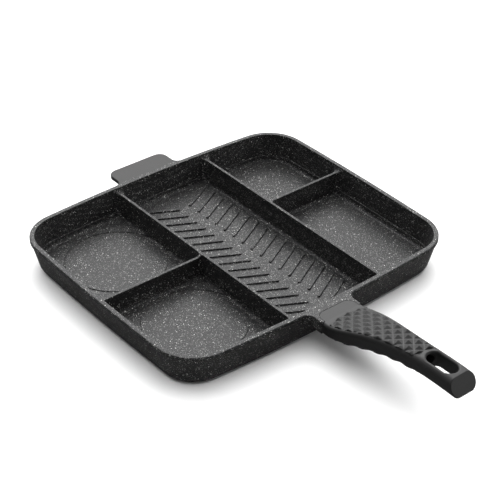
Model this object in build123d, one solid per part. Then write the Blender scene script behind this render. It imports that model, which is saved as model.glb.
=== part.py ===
from build123d import *
import math
import os

# Five-section frying pan: cast body with side tab and neck, steel base plate, moulded grip on one long screw.
# Millimetres. +Z is up, +X runs along the long side, the grip points to -Y.
# The origin is the centre of the base, on the surface that the pan stands on.

# Rim outline: four shallow arcs joined by four corner arcs
pan_length = 380.0
pan_width = 323.2
corner_radius = 47.0
bow_long_side = 9.4
bow_short_side = 3.4

# Outer shell
rim_height = 42.8
rim_land = 5.4
lip_height = 4.2
lip_step = 1.0
outer_draft = 14.0
base_edge_radius = 12.0
rim_edge_radius = 0.9

# Inside walls and floors
floor_height = 9.0
inner_draft = 8.6
ledge_height = 15.3
ledge_width = 0.9
floor_fillet = 4.0
wall_corner_radius = 8.0
cross_corner_radius = 4.0

# Dividers
left_divider_x = -47.8
right_divider_x = 76.9
left_cross_y = -1.9
right_cross_y = 32.6
divider_top_width = 3.0
divider_draft = 2.0
divider_top_height = 37.0
left_cross_height = 34.0
wall_step = 0.1
sweep_radius = 6.0

# Raised grill ribs in the middle section
rib_count = 16
rib_pitch = 16.3
rib_first_y = 115.3
rib_centre_x = 17.6
rib_inner_gap = 14.0
rib_span = 41.5
rib_angle = 28.0
rib_width = 3.0
rib_height = 1.5
rib_front_limit = -124.5

# Ring grooves in the two left floors
ring_diameter = 115.4
ring_x = -107.0
ring_front_y = -66.0
ring_back_y = 76.5
ring_width = 1.6
ring_depth = 0.8

# Helper tab on the back rim
tab_width = 79.0
tab_reach = 190.0
tab_corner_radius = 11.0
tab_root_radius = 8.0
tab_round_share = 0.45

# Neck on the front rim
handle_x = -6.0
neck_width = 54.0
neck_thickness = 14.0
neck_end_y = -182.0
neck_root_radius = 10.0
neck_round_share = 0.9
neck_inset = 0.3
neck_overlap = 16.0

# Steel base plate set into the underside
plate_length = 318.0
plate_width = 262.0
plate_corner_radius = 38.0
plate_thickness = 2.0
plate_clearance = 0.1

# Grip: a nose in the neck, then sections from the neck to the end
nose_width = 46.0
nose_front_y = -168.0
nose_corner_radius = 9.0
nose_thickness = 10.7
nose_clearance = 0.3
grip_stations = [-182.3, -208.0, -235.0, -265.0, -300.0, -335.0, -362.0]
grip_heights = [35.8, 40.5, 48.0, 54.0, 57.8, 58.8, 58.0]
grip_widths = [54.0, 54.0, 46.0, 38.0, 33.5, 33.5, 33.0]
grip_thicknesses = [14.0, 16.5, 18.0, 18.0, 18.5, 18.5, 18.5]
grip_section_radii = [4.0, 4.5, 5.5, 7.0, 8.5, 9.0, 9.0]
grip_end_y = -358.0
grip_end_lean = 30.0
grip_end_radius = 1.2
slot_length = 36.0
slot_width = 16.5
slot_centre_y = -323.0
slot_edge_radius = 2.5

# Screw that pulls the grip onto the neck
screw_diameter = 6.0
screw_head_diameter = 10.0
screw_head_height = 5.0
screw_start_y = -161.5
screw_start_z = 34.8
screw_rise = 9.6
screw_length = 126.0
screw_clearance = 0.3
hex_socket = 5.0
hex_socket_depth = 3.0
insert_diameter = 9.0
insert_back = 1.5
insert_length = 7.0
washer_diameter = 11.5
washer_thickness = 1.2
spring_diameter = 10.5
spring_thickness = 1.6
spring_slit = 1.4
head_bore_clearance = 0.5

half_length = pan_length / 2
half_width = pan_width / 2
lip_bottom = rim_height - lip_height
neck_bottom = rim_height - neck_thickness
nose_bottom = rim_height - nose_thickness
above = 1.0
root_margin = 1.0


def polar(centre, radius, angle):
    """Point at an angle in radians on a circle in the XY plane."""
    return (centre[0] + radius * math.cos(angle), centre[1] + radius * math.sin(angle))


def rim_face(inset, z):
    """Face inside the rim outline, moved in by inset, at height z."""
    long_radius = (half_length**2 + bow_long_side**2) / (2 * bow_long_side)
    short_radius = (half_width**2 + bow_short_side**2) / (2 * bow_short_side)
    back = (0.0, half_width - long_radius)
    right = (half_length - short_radius, 0.0)
    # The corner arc touches both side arcs from inside, which fixes its centre
    reach_back = long_radius - corner_radius
    reach_right = short_radius - corner_radius
    gap = math.dist(back, right)
    along = (reach_back**2 - reach_right**2 + gap**2) / (2 * gap)
    aside = math.sqrt(reach_back**2 - along**2)
    step = ((right[0] - back[0]) / gap, (right[1] - back[1]) / gap)
    corner = (
        back[0] + along * step[0] + aside * step[1],
        back[1] + along * step[1] - aside * step[0],
    )
    turn_right = math.atan2(corner[1] - right[1], corner[0] - right[0])
    turn_back = math.atan2(corner[1] - back[1], corner[0] - back[0])
    radius = corner_radius - inset
    start = polar(right, short_radius - inset, turn_right)
    middle = polar(corner, radius, (turn_right + turn_back) / 2)
    end = polar(back, long_radius - inset, turn_back)
    top = (0.0, half_width - inset)
    side = (half_length - inset, 0.0)
    loop = [(start, 1, -1), (side, 1, 1), (start, 1, 1), (middle, 1, 1), (end, 1, 1), (top, 1, 1)]
    loop += [(end, -1, 1), (middle, -1, 1), (start, -1, 1), (side, -1, 1), (start, -1, -1)]
    loop += [(middle, -1, -1), (end, -1, -1), (top, -1, -1), (end, 1, -1), (middle, 1, -1), (start, 1, -1)]
    points = [(point[0] * sx, point[1] * sy, z) for point, sx, sy in loop]
    arcs = [ThreePointArc(*points[i : i + 3]) for i in range(0, len(points) - 2, 2)]
    return Face(Wire(arcs))


def inner_inset(z):
    """Distance of the inner wall from the rim outline at height z, above the ledge."""
    return rim_land + (rim_height - z) * math.tan(math.radians(inner_draft))


def outer_inset(z):
    """Distance of the outer wall from the rim outline at height z, under the lip."""
    return lip_step + (lip_bottom - z) * math.tan(math.radians(outer_draft))


def divider_half(z):
    """Half thickness of a divider at height z."""
    return divider_top_width / 2 + (divider_top_height - z) * math.tan(math.radians(divider_draft))


def edges_at(shape, z):
    """Edges of a shape that lie flat at height z."""
    return shape.edges().filter_by_position(Axis.Z, z - 0.01, z + 0.01)


def section_bounds():
    """Divider planes around each floor: x low, x high, y low, y high, with None at an outer wall."""
    return {
        "front_left": (None, left_divider_x, None, left_cross_y),
        "back_left": (None, left_divider_x, left_cross_y, None),
        "middle": (left_divider_x, right_divider_x, None, None),
        "front_right": (right_divider_x, None, None, right_cross_y),
        "back_right": (right_divider_x, None, right_cross_y, None),
    }


def section_face(bounds, inset, z):
    """Plan of one section at height z, with its corners rounded beside the dividers."""
    half = divider_half(z)
    x0, x1, y0, y1 = bounds
    left = -half_length if x0 is None else x0 + half
    right = half_length if x1 is None else x1 - half
    front = -half_width if y0 is None else y0 + half
    back = half_width if y1 is None else y1 - half
    block = Pos((left + right) / 2, (front + back) / 2, z) * Rectangle(right - left, back - front)
    plan = rim_face(inset, z) & block
    planes_x = [v for v, given in ((left, x0), (right, x1)) if given is not None]
    planes_y = [v for v, given in ((front, y0), (back, y1)) if given is not None]

    def dividers_at(vertex):
        near_x = sum(abs(vertex.X - v) < 0.01 for v in planes_x)
        return near_x + sum(abs(vertex.Y - v) < 0.01 for v in planes_y)

    plan = fillet([v for v in plan.vertices() if dividers_at(v) == 1], wall_corner_radius)
    crossings = [v for v in plan.vertices() if dividers_at(v) == 2]
    return fillet(crossings, cross_corner_radius) if crossings else plan


def section_space(bounds):
    """Space of one section, from its floor to above the rim, with the ledge near the floor."""
    top = rim_height + above
    ledge_inset = inner_inset(ledge_height) + ledge_width
    floor_inset = inner_inset(floor_height) + ledge_width
    upper_low = section_face(bounds, inner_inset(ledge_height), ledge_height)
    upper_high = section_face(bounds, inner_inset(top), top)
    lower_low = section_face(bounds, floor_inset, floor_height)
    lower_high = section_face(bounds, ledge_inset, ledge_height)
    upper = loft([upper_low, upper_high], ruled=True)
    lower = loft([lower_low, lower_high], ruled=True)
    lower = fillet(edges_at(lower, floor_height), floor_fillet)
    return upper + lower


def divider_opening():
    """Space above the long dividers, which sweeps up to the rim at their ends."""
    top = rim_height + above
    low = rim_face(inner_inset(divider_top_height) + wall_step, divider_top_height)
    high = rim_face(inner_inset(top) + wall_step, top)
    space = loft([low, high], ruled=True)
    return fillet(edges_at(space, divider_top_height), sweep_radius)


def left_cross_opening():
    """Lower space above the left cross divider, swept up at its outer wall and long divider."""
    left = -half_length + inner_inset(left_cross_height)
    right = left_divider_x - divider_half(left_cross_height)
    height = rim_height + above - left_cross_height
    block = Box(right - left, 2 * sweep_radius, height, align=(Align.MIN, Align.CENTER, Align.MIN))
    block = fillet(edges_at(block, 0).filter_by(Axis.Y), sweep_radius)
    return Pos(left, left_cross_y, left_cross_height) * block


def rib(side, row):
    """One raised rib, on the side -1 or 1 of the pattern's centre line."""
    lean = math.tan(math.radians(rib_angle))
    y = rib_first_y - row * rib_pitch
    trim = max(0.0, (rib_front_limit - y) / lean)
    start_x = rib_inner_gap / 2 + trim
    end_x = rib_inner_gap / 2 + rib_span
    centre_x = rib_centre_x + side * (start_x + end_x) / 2
    centre_y = y + (trim + rib_span) / 2 * lean
    length = (end_x - start_x) / math.cos(math.radians(rib_angle))
    place = Pos(centre_x, centre_y, floor_height - above) * Rot(0, 0, side * rib_angle)
    return extrude(place * SlotOverall(length, rib_width), amount=rib_height + above)


def ring_groove(y):
    """Shallow round groove in a left floor."""
    outer = ring_diameter / 2 + ring_width / 2
    ring = Circle(outer) - Circle(outer - ring_width)
    return extrude(Pos(ring_x, y, floor_height - ring_depth) * ring, amount=ring_depth + above)


def lip_plan(z):
    """Plan of the rim with its helper tab and the top of the neck."""
    # Each rounding stays within the straight side that it runs into
    tab_limit = tab_round_share * (tab_reach - half_width)
    neck_limit = neck_round_share * (-half_width - neck_end_y)
    tab_root = half_width - rim_land
    tab = Pos(0, (tab_root + tab_reach) / 2, z) * Rectangle(tab_width, tab_reach - tab_root)
    neck_root = -half_width + rim_land
    neck = Pos(handle_x, (neck_root + neck_end_y) / 2, z) * Rectangle(neck_width, neck_root - neck_end_y)
    plan = rim_face(0, z) + tab + neck
    corners = plan.vertices()
    plan = fillet([v for v in corners if abs(v.Y - tab_reach) < 0.01], min(tab_corner_radius, tab_limit))
    roots = [v for v in plan.vertices() if abs(abs(v.X) - tab_width / 2) < 0.01]
    plan = fillet([v for v in roots if v.Y < half_width + root_margin], min(tab_root_radius, tab_limit))
    roots = [v for v in plan.vertices() if abs(abs(v.X - handle_x) - neck_width / 2) < 0.01]
    return fillet([v for v in roots if v.Y > -half_width - root_margin], min(neck_root_radius, neck_limit))


def neck_plan(z):
    """Plan of the neck under the lip, which starts just inside the outer wall."""
    inset = outer_inset(z) + neck_inset
    neck_limit = neck_round_share * (-half_width + inset - neck_end_y)
    root = -half_width + inset + neck_root_radius
    neck = Pos(handle_x, (root + neck_end_y) / 2, z) * Rectangle(neck_width, root - neck_end_y)
    plan = rim_face(inset, z) + neck
    roots = [v for v in plan.vertices() if abs(abs(v.X - handle_x) - neck_width / 2) < 0.01]
    plan = fillet([v for v in roots if v.Y > neck_end_y + root_margin], min(neck_root_radius, neck_limit))
    reach = neck_width + 2 * neck_overlap
    return plan & (Pos(handle_x, neck_end_y, z) * Rectangle(reach, 2 * (root - neck_end_y)))


def outer_block():
    """Solid block inside the outer wall, with its rounded base, lip, tab and neck."""
    low = rim_face(outer_inset(0), 0)
    high = rim_face(outer_inset(lip_bottom), lip_bottom)
    wall = loft([low, high], ruled=True)
    wall = fillet(edges_at(wall, 0), base_edge_radius)
    lip = extrude(lip_plan(lip_bottom), amount=lip_height)
    lip = fillet(edges_at(lip, rim_height), rim_edge_radius)
    neck = loft([neck_plan(neck_bottom), neck_plan(lip_bottom)], ruled=True)
    return wall + lip + neck


def nose_plan(clearance):
    """Plan of the grip's nose, or of its seat in the neck, from its front to past the neck's end."""
    front = nose_front_y + clearance
    rear = neck_end_y - neck_overlap
    width = nose_width + 2 * clearance
    plan = Pos(handle_x, (front + rear) / 2) * Rectangle(width, front - rear)
    corners = [v for v in plan.vertices() if v.Y > neck_end_y]
    return fillet(corners, nose_corner_radius + clearance)


def along_screw(distance):
    """Plane square to the screw at a distance from its tip."""
    rise = math.radians(screw_rise)
    direction = Vector(0, -math.cos(rise), math.sin(rise))
    tip = Vector(handle_x, screw_start_y, screw_start_z)
    return Plane(origin=tip + direction * distance, x_dir=(1, 0, 0), z_dir=direction)


def on_screw(profile, start, length):
    """Solid with a flat profile, along the screw from start."""
    return extrude(along_screw(start) * profile, amount=length)


def base_plan(clearance):
    """Plan of the steel plate, or of its seat in the base."""
    width = plate_length + 2 * clearance
    depth = plate_width + 2 * clearance
    return RectangleRounded(width, depth, plate_corner_radius + clearance)


def pan_body():
    """One casting: walls, dividers, ribs, rings, tab and neck."""
    body = outer_block()
    body -= [section_space(bounds) for bounds in section_bounds().values()]
    body -= divider_opening()
    body -= left_cross_opening()
    body -= ring_groove(ring_front_y)
    body -= ring_groove(ring_back_y)
    body += [rib(side, row) for side in (-1, 1) for row in range(rib_count)]
    seat = Pos(0, 0, nose_bottom - nose_clearance) * nose_plan(nose_clearance)
    body -= extrude(seat, amount=nose_thickness + nose_clearance + above)
    body -= on_screw(Circle(insert_diameter / 2), -insert_back, insert_length + neck_overlap)
    body -= extrude(base_plan(plate_clearance), amount=plate_thickness)
    return body


def base_plate():
    """Flat steel plate in the underside, for induction hobs."""
    return extrude(base_plan(0), amount=plate_thickness)


def grip_section(station):
    """Rounded cross-section of the grip at one station."""
    centre = (handle_x, grip_stations[station], grip_heights[station])
    plane = Plane(origin=centre, x_dir=(1, 0, 0), z_dir=(0, -1, 0))
    outline = RectangleRounded(grip_widths[station], grip_thicknesses[station], grip_section_radii[station])
    return plane * outline


def hanging_slot():
    """Straight slot through the grip's end."""
    slot = Pos(handle_x, slot_centre_y) * Rot(0, 0, 90) * SlotOverall(slot_length, slot_width)
    return extrude(slot, amount=3 * rim_height)


def in_slot(face):
    """Whether a face is a wall of the hanging slot."""
    box = face.bounding_box()
    reach_x = max(abs(box.min.X - handle_x), abs(box.max.X - handle_x))
    reach_y = max(abs(box.min.Y - slot_centre_y), abs(box.max.Y - slot_centre_y))
    return reach_x < slot_width / 2 + 0.1 and reach_y < slot_length / 2 + 0.1


def handle_grip():
    """Moulded grip: a nose in the neck, a waist, a leaning flat end and a slot to hang it by."""
    grip = loft([grip_section(i) for i in range(len(grip_stations))])
    lean = math.radians(grip_end_lean)
    bottom = grip_heights[-1] - grip_thicknesses[-1] / 2
    end = Plane(
        origin=(handle_x, grip_end_y, bottom), x_dir=(1, 0, 0), z_dir=(0, -math.cos(lean), math.sin(lean))
    )
    grip = split(grip, bisect_by=end, keep=Keep.BOTTOM)
    end_edges = grip.faces().sort_by(Axis.Y)[0].edges()
    grip = fillet(end_edges, grip_end_radius)
    grip -= hanging_slot()
    walls = [f for f in grip.faces() if in_slot(f)]
    rims = [e for f in walls for e in f.edges() if abs(e.tangent_at(0.5).Z) < 0.7]
    grip = fillet(rims, slot_edge_radius)
    nose = extrude(Pos(0, 0, nose_bottom) * nose_plan(0), amount=nose_thickness)
    grip += nose
    seat = screw_length - washer_thickness - spring_thickness
    grip -= on_screw(Circle(screw_diameter / 2 + screw_clearance), 0, seat + above)
    head_bore = Circle(washer_diameter / 2 + head_bore_clearance)
    return grip - on_screw(head_bore, seat, slot_length)


def handle_screw():
    """Long socket-head screw from the slot to the neck."""
    shank = on_screw(Circle(screw_diameter / 2), 0, screw_length)
    head = on_screw(Circle(screw_head_diameter / 2), screw_length, screw_head_height)
    socket_start = screw_length + screw_head_height - hex_socket_depth
    socket = RegularPolygon(hex_socket / 2, 6, major_radius=False)
    return shank + head - on_screw(socket, socket_start, hex_socket_depth + above)


def ring_on_screw(diameter, start, length):
    """Round ring that the screw passes through."""
    bore = screw_diameter / 2 + screw_clearance
    return on_screw(Circle(diameter / 2) - Circle(bore), start, length)


def flat_washer():
    """Flat washer on its seat in the grip."""
    start = screw_length - spring_thickness - washer_thickness
    return ring_on_screw(washer_diameter, start, washer_thickness)


def spring_washer():
    """Split washer under the screw's head."""
    start = screw_length - spring_thickness
    ring = ring_on_screw(spring_diameter, start, spring_thickness)
    slit = along_screw(start) * Pos(spring_diameter / 2, 0) * Rectangle(spring_diameter, spring_slit)
    return ring - extrude(slit, amount=spring_thickness)


def threaded_insert():
    """Steel insert cast into the neck, which takes the screw's tip."""
    ring = Circle(insert_diameter / 2) - Circle(screw_diameter / 2)
    return on_screw(ring, -insert_back, insert_length)


if __name__ == "__main__":
    os.makedirs("parts", exist_ok=True)
    pieces = [pan_body, base_plate, handle_grip, handle_screw, flat_washer, spring_washer, threaded_insert]
    for piece in pieces:
        export_step(piece(), f"parts/{piece.__name__}.step")
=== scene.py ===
import math
import bpy
import numpy as np
from mathutils import Matrix, Vector


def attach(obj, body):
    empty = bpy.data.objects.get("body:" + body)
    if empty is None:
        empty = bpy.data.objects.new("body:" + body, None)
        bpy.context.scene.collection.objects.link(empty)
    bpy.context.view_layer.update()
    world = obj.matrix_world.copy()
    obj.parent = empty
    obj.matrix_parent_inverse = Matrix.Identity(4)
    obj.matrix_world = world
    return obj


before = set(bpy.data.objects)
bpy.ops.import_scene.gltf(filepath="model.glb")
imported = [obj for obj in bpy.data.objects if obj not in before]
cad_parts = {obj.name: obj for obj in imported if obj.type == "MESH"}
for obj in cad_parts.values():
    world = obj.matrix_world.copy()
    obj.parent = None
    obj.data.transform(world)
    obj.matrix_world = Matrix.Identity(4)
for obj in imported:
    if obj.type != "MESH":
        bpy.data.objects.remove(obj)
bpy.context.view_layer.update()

mm = 0.001
print("CAD model loaded")


def srgb(code):
    # sRGB hex to linear: c / 12.92 below 0.04045, else ((c + 0.055) / 1.055) ** 2.4
    parts = [int(code[i:i + 2], 16) / 255 for i in (1, 3, 5)]
    return tuple(p / 12.92 if p < 0.04045 else ((p + 0.055) / 1.055) ** 2.4 for p in parts) + (1.0,)


def addNode(tree, kind, settings=None, links=None):
    # settings: input name or number to value, or a dot and an attribute's name; links: input to socket
    node = tree.nodes.new(kind)
    for key, value in (settings or {}).items():
        if isinstance(key, str) and key.startswith("."):
            setattr(node, key[1:], value)
        else:
            node.inputs[key].default_value = value
    for key, socket in (links or {}).items():
        tree.links.new(socket, node.inputs[key])
    return node


def newMaterial(name, color):
    material = bpy.data.materials.new(name)
    material.use_nodes = True
    material.diffuse_color = srgb(color)
    tree = material.node_tree
    shader = tree.nodes["Principled BSDF"]
    shader.inputs["Base Color"].default_value = srgb(color)
    coords = addNode(tree, "ShaderNodeTexCoord").outputs["Object"]
    return material, tree, shader, coords


# Camera fitted to the photograph, in metres, radians and pixels
camera = {
    "azimuth": math.radians(-40.39), "elevation": math.radians(34.72), "roll": math.radians(1.2),
    "distance": 1.67857, "focalPixels": 1478.61, "imagePixels": 500, "target": (0.0419, 0.00058, 0.0),
    "centreShift": (13.28, 1.04), "sensor": 36.0, "farthest": 50,
}


def addCamera(spec):
    # back points from the target to the camera; right and up are turned by the roll
    az, el, roll = spec["azimuth"], spec["elevation"], spec["roll"]
    back = Vector((math.sin(az) * math.cos(el), -math.cos(az) * math.cos(el), math.sin(el)))
    right = Vector((0, 0, 1)).cross(back).normalized()
    up = back.cross(right)
    rolledRight = math.cos(roll) * right + math.sin(roll) * up
    rolledUp = -math.sin(roll) * right + math.cos(roll) * up
    data = bpy.data.cameras.new("Camera")
    data.sensor_width = spec["sensor"]
    data.lens = spec["focalPixels"] / spec["imagePixels"] * spec["sensor"]
    data.shift_x = -spec["centreShift"][0] / spec["imagePixels"]
    data.shift_y = spec["centreShift"][1] / spec["imagePixels"]
    data.clip_end = spec["farthest"]
    cameraObject = bpy.data.objects.new("Camera", data)
    bpy.context.scene.collection.objects.link(cameraObject)
    place = Matrix((rolledRight, rolledUp, back)).transposed().to_4x4()
    place.translation = Vector(spec["target"]) + back * spec["distance"]
    cameraObject.matrix_world = place
    bpy.context.scene.camera = cameraObject


addCamera(camera)
print("Camera placed")

# Die-cast aluminium under a sprayed non-stick coat: satin charcoal, dense grey grit, a few white flecks.
# Pitches and radii are in millimetres; each layer keeps the cells whose random value lies above its limit.
coating = {
    "base": "#0b0b0c", "mottle": "#171718", "mottlePitch": 2.6, "mottleRange": (0.40, 0.68),
    "roughness": 0.46, "specular": 0.35, "edgeRadius": 1.1, "edgeSamples": 6,
    "tab": "#1a1919", "tabFrom": 162.5, "grainPitch": 1.3, "grainDepth": 0.16, "grainStrength": 0.8,
    "layers": [
        {"pitch": 0.8, "keep": 0.25, "radius": 0.54, "tone": "#414141"},
        {"pitch": 1.0, "keep": 0.52, "radius": 0.46, "tone": "#868684"},
        {"pitch": 1.9, "keep": 0.74, "radius": 0.26, "tone": "#dcdcd8"},
    ],
}


def coatingMaterial(spec):
    material, tree, shader, coords = newMaterial("Stone_coating", spec["base"])
    mottle = addNode(
        tree, "ShaderNodeTexNoise", {"Scale": 1 / (spec["mottlePitch"] * mm), "Detail": 3.0}, {"Vector": coords}
    )
    low, high = spec["mottleRange"]
    spread = addNode(
        tree, "ShaderNodeMapRange", {"From Min": low, "From Max": high}, {"Value": mottle.outputs["Fac"]}
    )
    color = addNode(
        tree, "ShaderNodeMix", {".data_type": "RGBA", 6: srgb(spec["base"]), 7: srgb(spec["mottle"])},
        {0: spread.outputs[0]},
    )
    for layer in spec["layers"]:
        # A speck shows where the distance to its cell's middle is below red * radius and green is above keep
        cells = addNode(
            tree, "ShaderNodeTexVoronoi", {"Scale": 1 / (layer["pitch"] * mm)}, {"Vector": coords}
        )
        pick = addNode(tree, "ShaderNodeSeparateColor", {}, {"Color": cells.outputs["Color"]})
        size = addNode(
            tree, "ShaderNodeMath", {".operation": "MULTIPLY", 1: layer["radius"]}, {0: pick.outputs["Red"]}
        )
        inside = addNode(
            tree, "ShaderNodeMath", {".operation": "LESS_THAN"},
            {0: cells.outputs["Distance"], 1: size.outputs[0]},
        )
        kept = addNode(
            tree, "ShaderNodeMath", {".operation": "GREATER_THAN", 1: layer["keep"]}, {0: pick.outputs["Green"]}
        )
        shown = addNode(
            tree, "ShaderNodeMath", {".operation": "MULTIPLY"}, {0: inside.outputs[0], 1: kept.outputs[0]}
        )
        color = addNode(
            tree, "ShaderNodeMix", {".data_type": "RGBA", 7: srgb(layer["tone"])},
            {0: shown.outputs[0], 6: color.outputs[2]},
        )
    # The helper tab behind the back rim has the plain base coat only
    place = addNode(tree, "ShaderNodeSeparateXYZ", {}, {"Vector": coords})
    onTab = addNode(
        tree, "ShaderNodeMath", {".operation": "GREATER_THAN", 1: spec["tabFrom"] * mm}, {0: place.outputs["Y"]}
    )
    color = addNode(
        tree, "ShaderNodeMix", {".data_type": "RGBA", 7: srgb(spec["tab"])},
        {0: onTab.outputs[0], 6: color.outputs[2]},
    )
    tree.links.new(color.outputs[2], shader.inputs["Base Color"])
    shader.inputs["Roughness"].default_value = spec["roughness"]
    shader.inputs["Specular IOR Level"].default_value = spec["specular"]
    # Rounded edges of the casting, then the fine pebbling of the sprayed coat
    edge = addNode(
        tree, "ShaderNodeBevel", {".samples": spec["edgeSamples"], "Radius": spec["edgeRadius"] * mm}
    )
    grain = addNode(
        tree, "ShaderNodeTexNoise", {"Scale": 1 / (spec["grainPitch"] * mm), "Detail": 2.0}, {"Vector": coords}
    )
    bump = addNode(
        tree, "ShaderNodeBump", {"Strength": spec["grainStrength"], "Distance": spec["grainDepth"] * mm},
        {"Height": grain.outputs["Fac"], "Normal": edge.outputs[0]},
    )
    tree.links.new(bump.outputs[0], shader.inputs["Normal"])
    return material


# Phenolic resin, moulded and lacquered: near black, with a soft satin sheen
lacquer = {
    "base": "#151515", "dark": "#121212", "light": "#181818", "toneRange": (0.3, 0.7), "grainPitch": 0.35,
    "roughness": 0.42, "specular": 0.35, "edgeRadius": 0.5, "edgeSamples": 6, "grainStrength": 0.15,
    "grainDepth": 0.05,
}


def gripMaterial(spec):
    material, tree, shader, coords = newMaterial("Soft_touch_grip", spec["base"])
    grain = addNode(
        tree, "ShaderNodeTexNoise", {"Scale": 1 / (spec["grainPitch"] * mm), "Detail": 2.0}, {"Vector": coords}
    )
    low, high = spec["toneRange"]
    spread = addNode(
        tree, "ShaderNodeMapRange", {"From Min": low, "From Max": high}, {"Value": grain.outputs["Fac"]}
    )
    shade = addNode(
        tree, "ShaderNodeMix", {".data_type": "RGBA", 6: srgb(spec["dark"]), 7: srgb(spec["light"])},
        {0: spread.outputs[0]},
    )
    tree.links.new(shade.outputs[2], shader.inputs["Base Color"])
    shader.inputs["Roughness"].default_value = spec["roughness"]
    shader.inputs["Specular IOR Level"].default_value = spec["specular"]
    edge = addNode(
        tree, "ShaderNodeBevel", {".samples": spec["edgeSamples"], "Radius": spec["edgeRadius"] * mm}
    )
    bump = addNode(
        tree, "ShaderNodeBump", {"Strength": spec["grainStrength"], "Distance": spec["grainDepth"] * mm},
        {"Height": grain.outputs["Fac"], "Normal": edge.outputs[0]},
    )
    tree.links.new(bump.outputs[0], shader.inputs["Normal"])
    return material


# Pressed stainless plate, turned on a lathe: fine rings that change its gloss a little
plate = {"base": "#a6a7a8", "ringPitch": 4.0, "distortion": 0.2, "roughness": (0.24, 0.36)}


def plateMaterial(spec):
    material, tree, shader, coords = newMaterial("Stainless_plate", spec["base"])
    rings = addNode(
        tree, "ShaderNodeTexWave",
        {
            ".wave_type": "RINGS", ".rings_direction": "Z", "Scale": 1 / (spec["ringPitch"] * mm),
            "Distortion": spec["distortion"],
        },
        {"Vector": coords},
    )
    low, high = spec["roughness"]
    rough = addNode(
        tree, "ShaderNodeMapRange", {"To Min": low, "To Max": high}, {"Value": rings.outputs["Fac"]}
    )
    tree.links.new(rough.outputs[0], shader.inputs["Roughness"])
    shader.inputs["Metallic"].default_value = 1.0
    return material


# Steel fasteners, zinc plated: pale metal with a cloudy haze
zincPlate = {"base": "#9c9d9e", "hazePitch": 1.5, "hazeRange": (0.3, 0.7), "roughness": (0.28, 0.42)}


def zincMaterial(spec):
    material, tree, shader, coords = newMaterial("Zinc_plated_steel", spec["base"])
    haze = addNode(
        tree, "ShaderNodeTexNoise", {"Scale": 1 / (spec["hazePitch"] * mm), "Detail": 3.0}, {"Vector": coords}
    )
    start, end = spec["hazeRange"]
    low, high = spec["roughness"]
    rough = addNode(
        tree, "ShaderNodeMapRange", {"From Min": start, "From Max": end, "To Min": low, "To Max": high},
        {"Value": haze.outputs["Fac"]},
    )
    tree.links.new(rough.outputs[0], shader.inputs["Roughness"])
    shader.inputs["Metallic"].default_value = 1.0
    return material


def dress(node, material):
    materials = bpy.data.objects[node].data.materials
    materials.clear()
    materials.append(material)


gripFinish = gripMaterial(lacquer)
dress("pan_body", coatingMaterial(coating))
dress("handle_grip", gripFinish)
dress("base_plate", plateMaterial(plate))
zinc = zincMaterial(zincPlate)
for name in ("handle_screw", "flat_washer", "spring_washer", "threaded_insert"):
    dress(name, zinc)
print("Materials made")

# Grip texture: raised pads that follow the moulded grip, in millimetres.
# The grip's centre line is at centreX and it runs to -y; side is 1 above the grip and -1 below it.
gripTop = {
    "name": "Grip_diamond_pad", "centreX": -6.0, "xReach": 29.0, "yRange": (-312.0, -184.0), "step": 0.42,
    "side": 1, "pitch": 9.8, "turn": 47.0, "phase": (-8.9, -215.5), "height": 2.3, "valley": 0.09,
    "lift": 0.12, "sink": 1.0, "fade": 1.4, "leftEdge": 2.4, "rightEdge": 5.0,
    "collarY": -186.0, "collarBow": 0.0068, "slotY": -312.5, "slotRadius": 12.5, "rearY": -302.0,
    "rearSlant": 0.35,
}
gripUnder = {
    "name": "Grip_finger_waves", "centreX": -6.0, "xReach": 29.0, "yRange": (-312.0, -196.0), "step": 0.7,
    "side": -1, "pitch": 19.0, "crest": -216.0, "height": 1.0, "lift": 0.05, "sink": 1.0, "fade": 6.0,
    "sideGap": 0.8, "sideFade": 1.5,
}
# How a plan grid is dropped onto the grip and given its thickness; slopes are rise over run
drop = {
    "above": 110.0, "below": -40.0, "missed": 0.5, "steepest": 3.5, "slopeLimit": 3.0, "slopeCap": 4.0,
    "backing": 1.6, "raised": 0.001,
}


def smooth(low, high, value):
    # Smoothstep: t * t * (3 - 2 t) with t clipped to 0..1
    t = np.clip((value - low) / (high - low), 0, 1)
    return t * t * (3 - 2 * t)


def gridFaces(rows, columns):
    # Quads of a grid of rows x columns vertices
    corner = (np.arange(rows - 1)[:, None] * columns + np.arange(columns - 1)[None, :]).ravel()
    return np.stack([corner, corner + 1, corner + columns + 1, corner + columns], 1)


def meshFrom(name, points, quads):
    mesh = bpy.data.meshes.new(name)
    mesh.vertices.add(len(points))
    mesh.vertices.foreach_set("co", points.astype(np.float32).ravel())
    mesh.loops.add(quads.size)
    mesh.loops.foreach_set("vertex_index", quads.astype(np.int32).ravel())
    mesh.polygons.add(len(quads))
    mesh.polygons.foreach_set("loop_start", np.arange(0, quads.size, 4, dtype=np.int32))
    mesh.update(calc_edges=True)
    mesh.validate()
    return mesh


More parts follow.
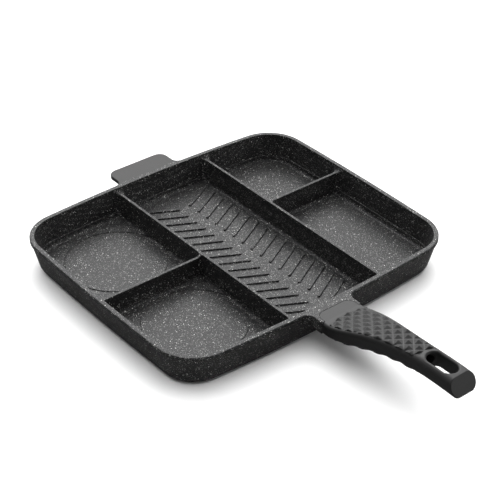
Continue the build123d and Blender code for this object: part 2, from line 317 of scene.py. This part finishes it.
def onGrip(spec):
    # Plan grid dropped onto the grip along Z: its places, the surface's height, and where it missed
    xs = np.arange(-spec["xReach"], spec["xReach"] + 0.01, spec["step"]) + spec["centreX"]
    ys = np.arange(spec["yRange"][0], spec["yRange"][1] + 0.01, spec["step"])
    planX, planY = np.meshgrid(xs, ys)
    start = drop["above"] if spec["side"] > 0 else drop["below"]
    points = np.stack([planX.ravel(), planY.ravel(), np.full(planX.size, start)], 1) * mm
    probe = bpy.data.objects.new("Probe", meshFrom("Probe", points, gridFaces(len(ys), len(xs))))
    bpy.context.scene.collection.objects.link(probe)
    wrap = probe.modifiers.new("Drop", "SHRINKWRAP")
    wrap.target = bpy.data.objects["handle_grip"]
    wrap.wrap_method = "PROJECT"
    wrap.use_project_z = True
    wrap.use_negative_direction = spec["side"] > 0
    wrap.use_positive_direction = spec["side"] < 0
    shape = probe.evaluated_get(bpy.context.evaluated_depsgraph_get()).data
    dropped = np.empty(len(shape.vertices) * 3, np.float32)
    shape.vertices.foreach_get("co", dropped)
    bpy.data.objects.remove(probe)
    z = dropped.reshape(len(ys), len(xs), 3)[:, :, 2].astype(float) / mm
    missed = np.abs(z - start) < drop["missed"]
    # Half the grip's width at each y, from the plan points that hit it
    half = np.clip((~missed).sum(1) * (xs[1] - xs[0]) / 2, 1, None)[:, None]
    return {"xs": xs, "ys": ys, "planX": planX, "planY": planY, "z": z, "missed": missed, "half": half}


def facing(surface, side):
    # Height with gaps, its slope, and unit normals: (-slope x, -slope y, 1) * side over its length
    height = np.where(surface["missed"], np.nan, surface["z"])
    slopeY, slopeX = np.gradient(height, surface["ys"], surface["xs"])
    cap, limit = drop["slopeCap"], drop["slopeLimit"]
    slope = np.nan_to_num(np.clip(np.hypot(slopeX, slopeY), 0, cap), nan=cap)
    slopeX = np.nan_to_num(np.clip(slopeX, -limit, limit))
    slopeY = np.nan_to_num(np.clip(slopeY, -limit, limit))
    normal = np.stack([-slopeX * side, -slopeY * side, np.full_like(slopeX, side)], 2)
    normal /= np.linalg.norm(normal, axis=2, keepdims=True)
    return height, slope, normal


def closedFaces(quads, count):
    # Top quads, the same quads turned over on the bottom layer, and a wall along each edge used once
    edges = np.concatenate([quads[:, [0, 1]], quads[:, [1, 2]], quads[:, [2, 3]], quads[:, [3, 0]]])
    key = np.sort(edges, 1)
    _, index, times = np.unique(key[:, 0] * count + key[:, 1], return_index=True, return_counts=True)
    rim = edges[index[times == 1]]
    walls = np.stack([rim[:, 1], rim[:, 0], rim[:, 0] + count, rim[:, 1] + count], 1)
    return np.concatenate([quads, quads[:, ::-1] + count, walls])


def addPad(spec, surface, relief, mask, material):
    # Top layer: surface + normal * (relief * mask - sink * (1 - mask))
    # Bottom layer: surface - normal * backing
    height, slope, normal = facing(surface, spec["side"])
    keep = ~np.isnan(height) & (slope < drop["steepest"])
    mask = mask * keep
    offset = relief * mask - spec["sink"] * (1 - mask)
    base = np.stack([surface["planX"], surface["planY"], np.where(keep, np.nan_to_num(height), 0)], 2)
    top = base + normal * offset[:, :, None]
    bottom = base - normal * drop["backing"]
    # Only quads whose corners all lie on the grip and near the raised area are kept
    near = keep & (mask > drop["raised"])
    near = near | np.roll(near, 1, 0) | np.roll(near, -1, 0) | np.roll(near, 1, 1) | np.roll(near, -1, 1)
    near &= keep
    quads = gridFaces(*mask.shape)
    quads = quads[near.ravel()[quads].all(1)]
    faces = closedFaces(quads, mask.size)
    if spec["side"] < 0:
        faces = faces[:, ::-1]
    points = np.concatenate([top.reshape(-1, 3), bottom.reshape(-1, 3)]) * mm
    used, faces = np.unique(faces, return_inverse=True)
    mesh = meshFrom(spec["name"], points[used], faces.reshape(-1, 4))
    mesh.materials.append(material)
    pad = bpy.data.objects.new(spec["name"], mesh)
    bpy.context.scene.collection.objects.link(pad)
    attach(pad, "root")


def diamondRelief(spec, surface):
    # Square pyramids: lift + height * (1 - largest distance from the cell's middle), flat near the valleys
    angle = math.radians(spec["turn"])
    dx = surface["planX"] - spec["phase"][0]
    dy = surface["planY"] - spec["phase"][1]
    across = (dx * math.sin(angle) - dy * math.cos(angle)) / spec["pitch"]
    along = (dx * math.cos(angle) + dy * math.sin(angle)) / spec["pitch"]
    distance = np.maximum(np.abs(across % 1 - 0.5), np.abs(along % 1 - 0.5)) * 2
    return spec["lift"] + spec["height"] * np.clip(1 - distance / (1 - spec["valley"]), 0, 1)


def diamondMask(spec, surface):
    # Inside the side edges, behind the collar's arc, in front of the slot and of the slanted rear line
    offset = surface["planX"] - spec["centreX"]
    half, y = surface["half"], surface["planY"]
    sides = np.where(offset > 0, half - spec["rightEdge"] - offset, half - spec["leftEdge"] + offset)
    collar = spec["collarY"] - spec["collarBow"] * offset ** 2 - y
    slot = np.hypot(offset, y - spec["slotY"]) - spec["slotRadius"]
    rear = y - spec["rearY"] + spec["rearSlant"] * offset
    room = np.minimum(np.minimum(sides, collar), np.minimum(slot, rear))
    return smooth(0, spec["fade"], room)


def waveRelief(spec, surface):
    # Finger waves: lift + height * (1 + cos(2 pi (y - crest) / pitch)) / 2
    turns = (surface["planY"] - spec["crest"]) / spec["pitch"]
    return spec["lift"] + spec["height"] * (0.5 + 0.5 * np.cos(turns * 2 * math.pi))


def waveMask(spec, surface):
    # Fades out toward both ends and toward the sides of the grip
    y = surface["planY"]
    ends = np.minimum(y - spec["yRange"][0], spec["yRange"][1] - y)
    sides = surface["half"] - spec["sideGap"] - np.abs(surface["planX"] - spec["centreX"])
    return smooth(0, spec["fade"], ends) * smooth(0, spec["sideFade"], sides)


for spec, relief, mask in ((gripTop, diamondRelief, diamondMask), (gripUnder, waveRelief, waveMask)):
    surface = onGrip(spec)
    addPad(spec, surface, relief(spec, surface), mask(spec, surface), gripFinish)
print("Grip texture made")

# Studio: pale floor, dim front and bright back of the sky, four soft lamps. Metres and watts.
# The floor colour used in glossy reflections is painted shade, darker than the lit floor
studio = {
    "floor": "#f6f6f6", "floorReflectedShade": "#5e5e5e", "floorRoughness": 0.9, "floorReach": 6.0,
    "worldDim": 0.16, "worldBright": 1.8, "brightWay": (0.60, 0.70, 0.39), "brightRange": (0.25, 0.97),
}
# The overhead sheet lights the table softly but leaves no mirror image in the coating
lamps = [
    {"name": "Key", "place": (0.75, 1.0, 1.35), "aim": (0, 0, 0), "size": (2.0, 1.2), "power": 14.0},
    {
        "name": "Overhead", "place": (-0.1, -0.1, 1.9), "aim": (-0.1, -0.1, 0), "size": (2.4, 2.4),
        "power": 52.0, "mirrored": False,
    },
    {"name": "Back", "place": (0.85, 1.3, 1.45), "aim": (0, 0, 0.03), "size": (1.6, 0.9), "power": 8.0},
    {"name": "Side", "place": (0.95, -1.55, 0.5), "aim": (0, -0.2, 0.04), "size": (0.8, 0.6), "power": 4.0},
]


def addFloor(spec):
    reach = spec["floorReach"]
    mesh = bpy.data.meshes.new("Floor")
    corners = [(-reach, -reach, 0), (reach, -reach, 0), (reach, reach, 0), (-reach, reach, 0)]
    mesh.from_pydata(corners, [], [(0, 1, 2, 3)])
    floor = bpy.data.objects.new("Floor", mesh)
    bpy.context.scene.collection.objects.link(floor)
    material, tree, shader, coords = newMaterial("Studio_floor", spec["floor"])
    shader.inputs["Roughness"].default_value = spec["floorRoughness"]
    # Painted shade: reflections meet a darker floor colour, standing in for the shadow on the table beside the
    # pan
    path = addNode(tree, "ShaderNodeLightPath")
    shade = addNode(
        tree, "ShaderNodeMix", {".data_type": "RGBA", 6: srgb(spec["floor"]), 7: srgb(spec["floorReflectedShade"])},
        {0: path.outputs["Is Glossy Ray"]},
    )
    tree.links.new(shade.outputs[2], shader.inputs["Base Color"])
    mesh.materials.append(material)


def addWorld(spec):
    # Strength rises from worldDim to worldBright with the share of the direction along brightWay
    world = bpy.data.worlds.new("Studio")
    bpy.context.scene.world = world
    world.use_nodes = True
    tree = world.node_tree
    background = tree.nodes["Background"]
    sky = addNode(tree, "ShaderNodeTexCoord")
    share = addNode(
        tree, "ShaderNodeVectorMath", {".operation": "DOT_PRODUCT", 1: spec["brightWay"]},
        {0: sky.outputs["Generated"]},
    )
    low, high = spec["brightRange"]
    level = addNode(
        tree, "ShaderNodeMapRange", {1: low, 2: high, 3: spec["worldDim"], 4: spec["worldBright"]},
        {0: share.outputs["Value"]},
    )
    # The camera sees plain white
    path = addNode(tree, "ShaderNodeLightPath")
    strength = addNode(
        tree, "ShaderNodeMix", {".data_type": "FLOAT", 3: 1.0},
        {0: path.outputs["Is Camera Ray"], 2: level.outputs[0]},
    )
    tree.links.new(strength.outputs[0], background.inputs["Strength"])
    background.inputs["Color"].default_value = (1, 1, 1, 1)


def addLamp(spec):
    data = bpy.data.lights.new(spec["name"], "AREA")
    data.shape = "RECTANGLE"
    data.size, data.size_y = spec["size"]
    data.energy = spec["power"]
    lamp = bpy.data.objects.new(spec["name"], data)
    bpy.context.scene.collection.objects.link(lamp)
    lamp.location = spec["place"]
    way = Vector(spec["aim"]) - Vector(spec["place"])
    lamp.rotation_euler = way.to_track_quat("-Z", "Y").to_euler()
    lamp.visible_glossy = spec.get("mirrored", True)


addFloor(studio)
addWorld(studio)
for lampSpec in lamps:
    addLamp(lampSpec)
bpy.context.scene.view_settings.view_transform = "Standard"
print("Studio lit")
